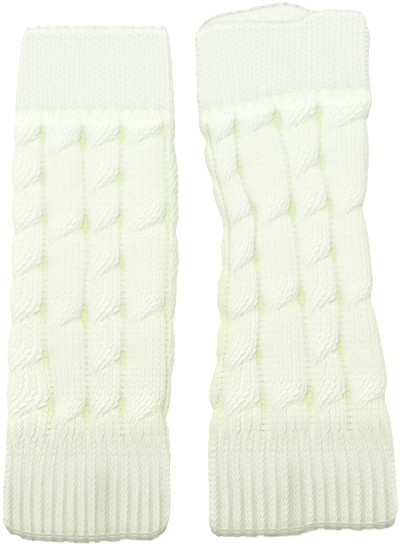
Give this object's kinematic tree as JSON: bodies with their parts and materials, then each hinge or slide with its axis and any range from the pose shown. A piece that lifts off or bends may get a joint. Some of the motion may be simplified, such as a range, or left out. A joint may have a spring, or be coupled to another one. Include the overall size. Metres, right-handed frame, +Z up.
{
  "type": "pair of cable-knit wrist warmers",
  "caption": "Pair of cream cable-knit wrist warmers laid flat side by side, each an open knitted tube with ribbed cuffs at the hand and arm ends.",
  "frame": {"origin": "middle of the pair's footprint, on the surface that the pair lies on", "axes": "+X across the pair from the left warmer to the right one, +Y along the warmers from the arm end to the hand end, +Z up from the surface"},
  "size_m": [0.209, 0.284, 0.0114],
  "materials": {
    "body_yarn": "soft matt acrylic knitting yarn, ivory, cabled",
    "cuff_yarn": "soft matt acrylic knitting yarn, ivory, ribbed",
    "shaded_cuff_yarn": "soft matt acrylic knitting yarn, warmer ivory, ribbed"
  },
  "bodies": {
    "root": {"left_top_rib": "cuff_yarn", "left_body": "body_yarn", "left_bottom_rib": "shaded_cuff_yarn", "right_top_rib": "cuff_yarn", "right_body": "body_yarn", "right_bottom_rib": "shaded_cuff_yarn"}
  },
  "joints": []
}
